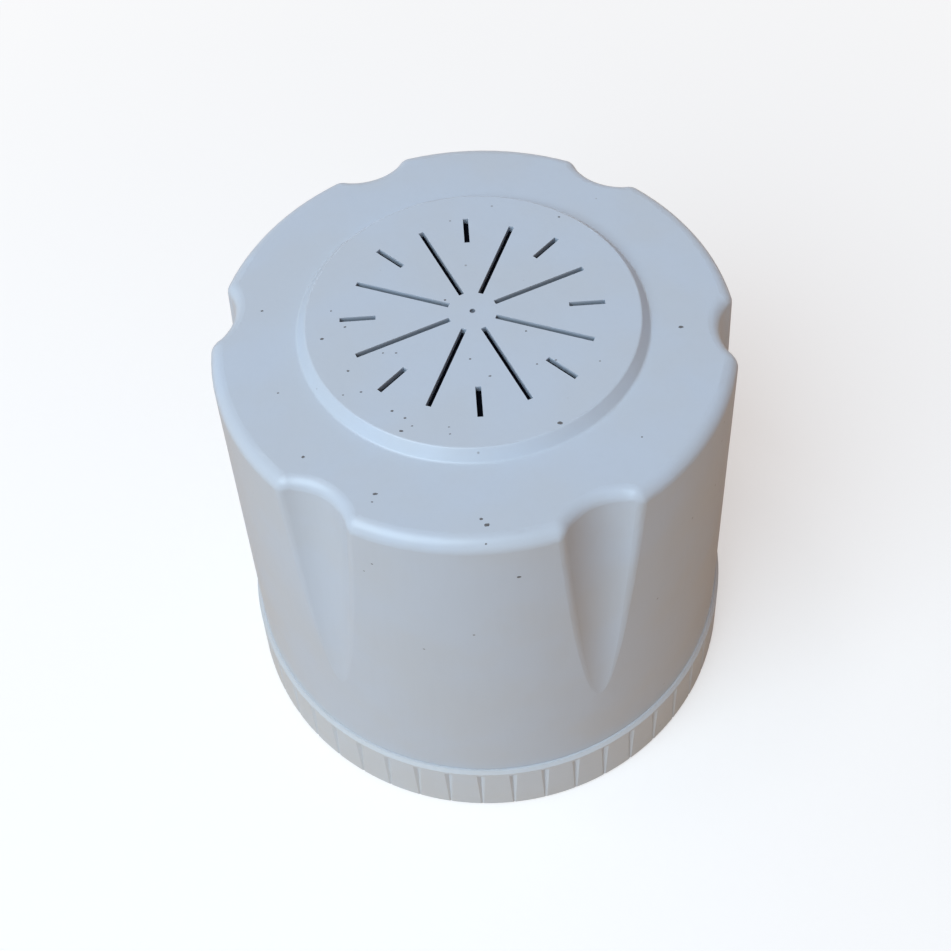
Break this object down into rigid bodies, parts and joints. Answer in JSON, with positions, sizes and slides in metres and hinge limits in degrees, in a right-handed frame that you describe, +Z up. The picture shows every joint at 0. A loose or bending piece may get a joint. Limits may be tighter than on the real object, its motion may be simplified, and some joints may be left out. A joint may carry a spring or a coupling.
{
  "type": "water pitcher filter cartridge",
  "caption": "Tapering water filter cartridge: a fluted white plastic housing with a raised disc of radial slots, on a grooved cap with an internal screw socket.",
  "frame": {"origin": "middle of the cap's foot, on the plane it stands on", "axes": "+Z up along the cartridge's axis, from the threaded inlet end to the slotted outlet end; +X and +Y are square to it, with one long outlet slot pair either side of each"},
  "size_m": [0.0898, 0.0898, 0.079],
  "materials": {
    "housing_plastic": "semi-gloss moulded polypropylene, cool white",
    "cap_plastic": "semi-gloss moulded polypropylene, cool white",
    "gasket_rubber": "soft pale grey silicone",
    "inlet_mesh": "fine woven nylon strainer",
    "filter_felt": "non-woven felt",
    "carbon_granules": "black activated carbon granules",
    "resin_beads": "amber ion-exchange beads",
    "outlet_screen": "fine dark woven screen"
  },
  "bodies": {
    "root": {"housing": "housing_plastic", "base_cap": "cap_plastic", "inlet_gasket": "gasket_rubber", "inlet_mesh": "inlet_mesh", "inlet_felt": "filter_felt", "carbon_bed": "carbon_granules", "separator_felt": "filter_felt", "resin_bed": "resin_beads", "outlet_felt": "filter_felt", "outlet_screen": "outlet_screen"}
  },
  "joints": []
}
